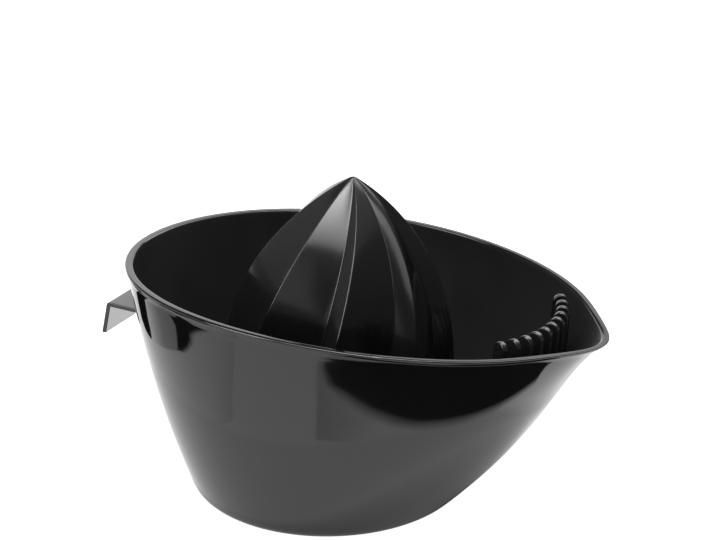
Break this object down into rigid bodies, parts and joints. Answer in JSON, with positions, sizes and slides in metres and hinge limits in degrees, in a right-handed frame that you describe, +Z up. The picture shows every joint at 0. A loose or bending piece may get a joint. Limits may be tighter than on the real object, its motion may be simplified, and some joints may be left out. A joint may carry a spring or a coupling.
{
  "type": "citrus juicer with pouring bowl",
  "caption": "Hand citrus juicer: a ridged pointed reamer standing in a deep pouring bowl with a spout, a row of pip-catching fins and a hook at the back.",
  "frame": {"origin": "middle of the flat underside that the bowl stands on, below the reamer's point", "axes": "+X towards the spout, +Z up"},
  "size_m": [0.1675, 0.1234, 0.1015],
  "materials": {
    "bowl_plastic": "polished black moulding",
    "reamer_plastic": "satin black moulding"
  },
  "bodies": {
    "bowl": {"bowl_shell": "bowl_plastic", "pip_comb": "bowl_plastic", "hook_handle": "bowl_plastic"},
    "reamer": {"reamer": "reamer_plastic"}
  },
  "joints": [
    {"name": "reamer_lift", "type": "slide", "parent": "bowl", "child": "reamer", "axis": [0, 0, 1], "range_m": [0, 0.11]}
  ]
}
